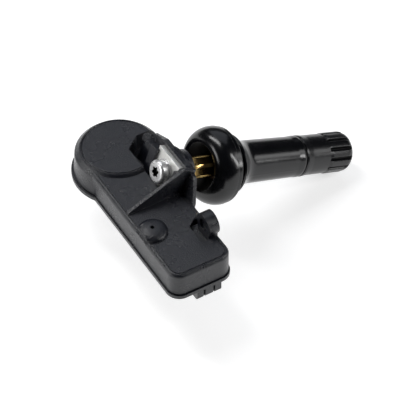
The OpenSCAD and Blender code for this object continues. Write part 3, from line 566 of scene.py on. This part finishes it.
FINISH = {
    "housing": BODY, "base_cover": COVER, "circuit_board": board_coat(),
    "battery_cell": CAN, "battery_tab_top": STRIP, "battery_tab_bottom": STRIP,
    "pressure_sensor_chip": RESIN, "port_seal": SEAL, "radio_chip": RESIN,
    "crystal_can": CAN, "coil_core": FERRITE, "coil_winding": wound_wire(),
    "antenna_strip": STRIP, "board_capacitors": CERAMIC, "clamp_plate": ZINC,
    "flat_washer": STEEL, "lock_washer": STEEL, "clamp_screw": SCREW,
    "brass_stem": BRASS, "rubber_valve": RUBBER, "core_barrel": BRASS,
    "core_gasket": GASKET, "core_pin": BRASS, "core_plunger": SEAL,
    "core_spring": STEEL, "valve_cap": CAP, "cap_seal": SEAL,
}


def dress_nodes():
    """Gives every carried-over node its finish."""
    for name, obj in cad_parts.items():
        obj.data.materials.clear()
        obj.data.materials.append(FINISH[name])


# The ways to make a shape on the valve

def on_valve(z, r, angle):
    """A point in metres from a station and a radius in mm, and an angle from the top."""
    side = UP * math.cos(angle) + ASIDE * math.sin(angle)
    return (ALONG * z + side * r) * MM


def smoothstep(low, high, value):
    """A value that climbs from 0 at low to 1 at high, gently at both ends."""
    f = min(max((value - low) / (high - low), 0.0), 1.0)
    return f * f * (3 - 2 * f)


def rounded(points, steps):
    """A closed outline of (radius, station, corner radius), with its corners rounded."""
    nothing, nearly_straight, most_of_a_run = 1e-6, math.pi - 0.02, 0.49
    path = []
    for i, (r, z, corner) in enumerate(points):
        here = Vector((r, z))
        to_before = Vector(points[i - 1][:2]) - here
        to_after = Vector(points[(i + 1) % len(points)][:2]) - here
        if corner <= 0 or to_before.length < nothing or to_after.length < nothing:
            path.append(here)
            continue
        angle = to_before.angle(to_after)
        if angle > nearly_straight:
            path.append(here)
            continue
        cut = min(corner / math.tan(angle / 2), to_before.length * most_of_a_run,
                  to_after.length * most_of_a_run)
        start = here + to_before.normalized() * cut
        end = here + to_after.normalized() * cut
        for k in range(steps + 1):
            f = k / steps
            path.append(start * (1 - f) ** 2 + here * 2 * f * (1 - f) + end * f * f)
    return path


def refined(path, longest):
    """The closed outline with its long runs divided."""
    out = []
    for i, here in enumerate(path):
        after = path[(i + 1) % len(path)]
        parts = max(1, math.ceil((after - here).length / longest))
        out += [here.lerp(after, k / parts) for k in range(parts)]
    return out


def closed_shape(name, verts, faces, weld=0.0):
    """An object from a closed mesh, with points nearer than weld joined and its faces outward."""
    mesh = bpy.data.meshes.new(name)
    mesh.from_pydata(verts, [], faces)
    work = bmesh.new()
    work.from_mesh(mesh)
    if weld:
        bmesh.ops.remove_doubles(work, verts=work.verts, dist=weld)
    bmesh.ops.recalc_face_normals(work, faces=work.faces)
    work.to_mesh(mesh)
    work.free()
    obj = bpy.data.objects.new(name, mesh)
    bpy.context.collection.objects.link(obj)
    return obj


def lathe(name, path, turns, shape=None):
    """A closed outline turned round the valve's axis; shape may move a point's radius."""
    verts, faces = [], []
    for k in range(turns):
        angle = 2 * math.pi * k / turns
        for p in path:
            r = shape(p.x, p.y, angle) if shape else p.x
            verts.append(on_valve(p.y, r, angle))
    n = len(path)
    for k in range(turns):
        a, b = k * n, ((k + 1) % turns) * n
        for i in range(n):
            j = (i + 1) % n
            faces.append((a + i, a + j, b + j, b + i))
    obj = closed_shape(name, verts, faces, weld=1e-7)
    for face in obj.data.polygons:
        face.use_smooth = True
    return obj


def tube_faces(rings, sides):
    """The faces of a tube of so many rings of points, with its two end faces."""
    faces = []
    for k in range(rings - 1):
        a, b = k * sides, (k + 1) * sides
        for i in range(sides):
            j = (i + 1) % sides
            faces.append((a + i, a + j, b + j, b + i))
    last = (rings - 1) * sides
    return faces + [tuple(range(sides - 1, -1, -1)), tuple(range(last, last + sides))]


def second_material(obj, chosen):
    """Gives the second material to the faces chosen by station, radius and angle."""
    for face in obj.data.polygons:
        z = face.center.dot(ALONG) / MM
        off = face.center / MM - ALONG * z
        if chosen(z, off.length, math.atan2(off.dot(ASIDE), off.dot(UP))):
            face.material_index = 1


def finish_piece(obj, body, node):
    """Makes a piece ride on its body, in the place of its CAD node."""
    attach(obj, body)
    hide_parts(node)


# The pieces

def rubber_skin():
    """The moulded rubber: recess, bulb, lip, rim groove, shoulder, flare and stem."""
    bore, recess, recess_edge, lip = 3.32, 5.2, 6.1, 9.8
    groove, shoulder, stem = 5.75, 7.6, 5.42
    bulb_round, bulb_depth, bulb_steps, flare_steps = 3.4, 4.4, 14, 10
    outline = [(bore, RECESS_FLOOR, 0.2), (recess, BULB_BACK + 0.9, 0.5),
               (recess_edge, BULB_BACK, 0.25)]
    for k in range(bulb_steps + 1):
        angle = -math.pi / 2 + math.pi / 2 * k / bulb_steps
        outline.append((lip - bulb_round + bulb_round * math.cos(angle),
                        BULB_BACK + bulb_depth + bulb_depth * math.sin(angle), 0))
    outline += [
        (lip, LIP_BACK - 0.15, 0.1), (lip - 0.3, LIP_BACK, 0.08), (lip - 0.25, -0.75, 0.3),
        (lip - 0.8, -0.6, 0.2), (lip - 2.4, -GROOVE_HALF, 0.3), (groove, -GROOVE_HALF, 0.4),
        (groove, GROOVE_HALF, 0.3), (shoulder - 0.2, GROOVE_HALF, 0.2),
        (shoulder, SHOULDER_OUT - 0.1, 0.2)]
    # The flare sweeps down in one hollow curve to the stem
    flare_length = CONE_OUT + 0.5 - SHOULDER_OUT
    for k in range(1, flare_steps + 1):
        f = k / flare_steps
        outline.append((stem + (shoulder - stem) * (1 - f) ** 2,
                        SHOULDER_OUT + flare_length * f, 0))
    outline += [
        (stem - 0.22, RUBBER_END - 2.2, 0.8), (stem - 0.1, RUBBER_END - 0.6, 0.3),
        (stem - 0.17, RUBBER_END, 0.2), (bore, RUBBER_END, 0)]
    seam_height, seam_width, seam_from = 0.04, 0.12, 5.0

    def seam(r, z, angle):
        """A thin mould line along both sides."""
        if r < seam_from:
            return r
        off = min(abs(angle - math.pi / 2), abs(angle - 3 * math.pi / 2))
        return r + seam_height * math.exp(-(off * r / seam_width) ** 2)

    skin = lathe("rubber_skin", refined(rounded(outline, 8), 0.6), 256, seam)
    skin.data.materials.append(RUBBER)
    skin.data.materials.append(RECESS_SHADE)
    # The faces inside the recess get the darker rubber as painted shade
    second_material(skin, lambda z, r, angle: z < RECESS_FLOOR + 0.5 and r < recess_edge - 0.2)
    return skin


def cap_skin():
    """The cap: a slim tube, a collar edge and rounded grip grooves at its closed end."""
    count, depth, half = 12, 0.85, 0.62
    turn = math.radians(19)
    groove_start, groove_end = CAP_OUT - 8.2, CAP_OUT - 0.7
    inner, outer = 3.9, 5.2
    # The closed end's rounding: how far in, how far along, and in how many steps
    round_in, round_along, round_steps = 2.1, 2.2, 10
    outline = [
        (inner, CAP_IN, 0.1), (outer, CAP_IN, 0.15), (outer + 0.1, CAP_IN + 0.5, 0.2),
        (outer - 0.08, CAP_IN + 2.2, 1.0), (outer - 0.12, groove_start, 0.3),
        (outer + 0.02, groove_start + 0.9, 0.5), (outer, CAP_OUT - round_along, 0.0)]
    for k in range(round_steps + 1):
        angle = math.pi / 2 * k / round_steps
        outline.append((outer - round_in + round_in * math.cos(angle),
                        CAP_OUT - round_along + round_along * math.sin(angle), 0))
    outline += [(1.8, CAP_OUT, 0), (0.0, CAP_OUT, 0), (0.0, CAP_FLOOR, 0),
                (inner, CAP_FLOOR, 0.2)]
    # The shares of a groove's half width that are its floor and its part in painted shade, and
    # the radius inside which nothing is cut
    floor_share, shade_share, inner_wall = 0.15, 0.62, 4.0

    def off_groove(angle, r):
        """How far round the cap a point is from the middle of the nearest groove."""
        # The solids measure the grooves from the underside, so the first one is half a turn away
        step = 2 * math.pi / count
        return abs(((angle - math.pi - turn + step / 2) % step - step / 2) * r)

    def grooved(r, z, angle):
        """The radius with the grip grooves sunk in it, each with rounded ends."""
        if r < inner_wall or z < groove_start:
            return r
        across = 1 - smoothstep(half * floor_share, half, off_groove(angle, r))
        ends = smoothstep(groove_start, groove_start + 0.5, z)
        ends *= 1 - smoothstep(groove_end - 0.6, groove_end, z)
        return r - depth * across * ends

    def in_groove(z, r, angle):
        """True for a face deep in a groove, which gets painted shade."""
        return (r > inner_wall and groove_start + 0.3 < z < groove_end - 0.3
                and off_groove(angle, r) < half * shade_share)

    skin = lathe("cap_skin", refined(rounded(outline, 6), 0.45), 360, grooved)
    skin.data.materials.append(CAP)
    skin.data.materials.append(GROOVE_SHADE)
    second_material(skin, in_groove)
    return skin


def core_coil():
    """The valve core's spring: round wire with closed end turns, pressed short by the pin."""
    coil_r, wire_r, turns, steps, sides = 0.9, 0.14, 6, 32, 10
    low, high = SPRING_SEAT + wire_r, PIN_COLLAR - wire_r - 0.01
    verts = []
    count = turns * steps
    for k in range(count + 1):
        f = k / count
        climb = smoothstep(0.02, 0.98, f) * 0.6 + f * 0.4
        z = low + (high - low) * climb
        for i in range(sides):
            b = 2 * math.pi * i / sides
            verts.append(on_valve(z + wire_r * math.sin(b), coil_r + wire_r * math.cos(b),
                                  2 * math.pi * k / steps))
    coil = closed_shape("core_coil", verts, tube_faces(count + 1, sides))
    for face in coil.data.polygons:
        face.use_smooth = len(face.vertices) == 4
    coil.data.materials.append(STEEL)
    return coil


def thread_cutter():
    """The groove of the cap's thread: a long helix that stands out past the brass."""
    steps, outer, root = 48, 4.3, 3.42
    turns = int((MOUTH - RUBBER_END + 1.2) / THREAD_PITCH)
    start = RUBBER_END - 0.2
    # The section of the groove: radius, and height along the valve in mm
    section = [(outer, -0.378), (outer, 0.378), (root, 0.054), (root, -0.054)]
    verts = []
    for k in range(turns * steps + 1):
        angle = -2 * math.pi * k / steps
        z = start + THREAD_PITCH * k / steps
        verts += [on_valve(z + dz, r, angle) for r, dz in section]
    return closed_shape("helix", verts, tube_faces(turns * steps + 1, len(section)))


def neck_cutter():
    """The ring that turns down the corners of the six-sided neck."""
    first, last, outside = WALL_IN + 1.0, RECESS_FLOOR - 0.3, 4.2
    outline = [Vector(p) for p in ((NECK_TURNED, first), (outside, first), (outside, last),
                                   (NECK_TURNED, last))]
    return lathe("corners", outline, 96)


def threaded_stem():
    """The brass stem with its real thread: the solid's shape, with a helix cut into its end."""
    stem = bpy.data.objects.new("threaded_stem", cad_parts["brass_stem"].data.copy())
    stem.data.materials.clear()
    bpy.context.collection.objects.link(stem)
    cutters = [thread_cutter(), neck_cutter()]
    for cutter in cutters:
        cut = stem.modifiers.new(cutter.name, "BOOLEAN")
        cut.operation = "DIFFERENCE"
        cut.solver = "EXACT"
        cut.object = cutter
    bpy.context.view_layer.update()
    cut_stem = stem.evaluated_get(bpy.context.evaluated_depsgraph_get())
    shaped = bpy.data.meshes.new_from_object(cut_stem)
    stem.modifiers.clear()
    stem.data = shaped
    for cutter in cutters:
        bpy.data.objects.remove(cutter)
    shaped.materials.clear()
    shaped.materials.append(BRASS)
    return stem


camera()
studio()
dress_nodes()
finish_piece(rubber_skin(), "root", "rubber_valve")
finish_piece(cap_skin(), "cap", "valve_cap")
finish_piece(threaded_stem(), "root", "brass_stem")
coil = core_coil()
finish_piece(coil, "root", "core_spring")
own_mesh(coil)
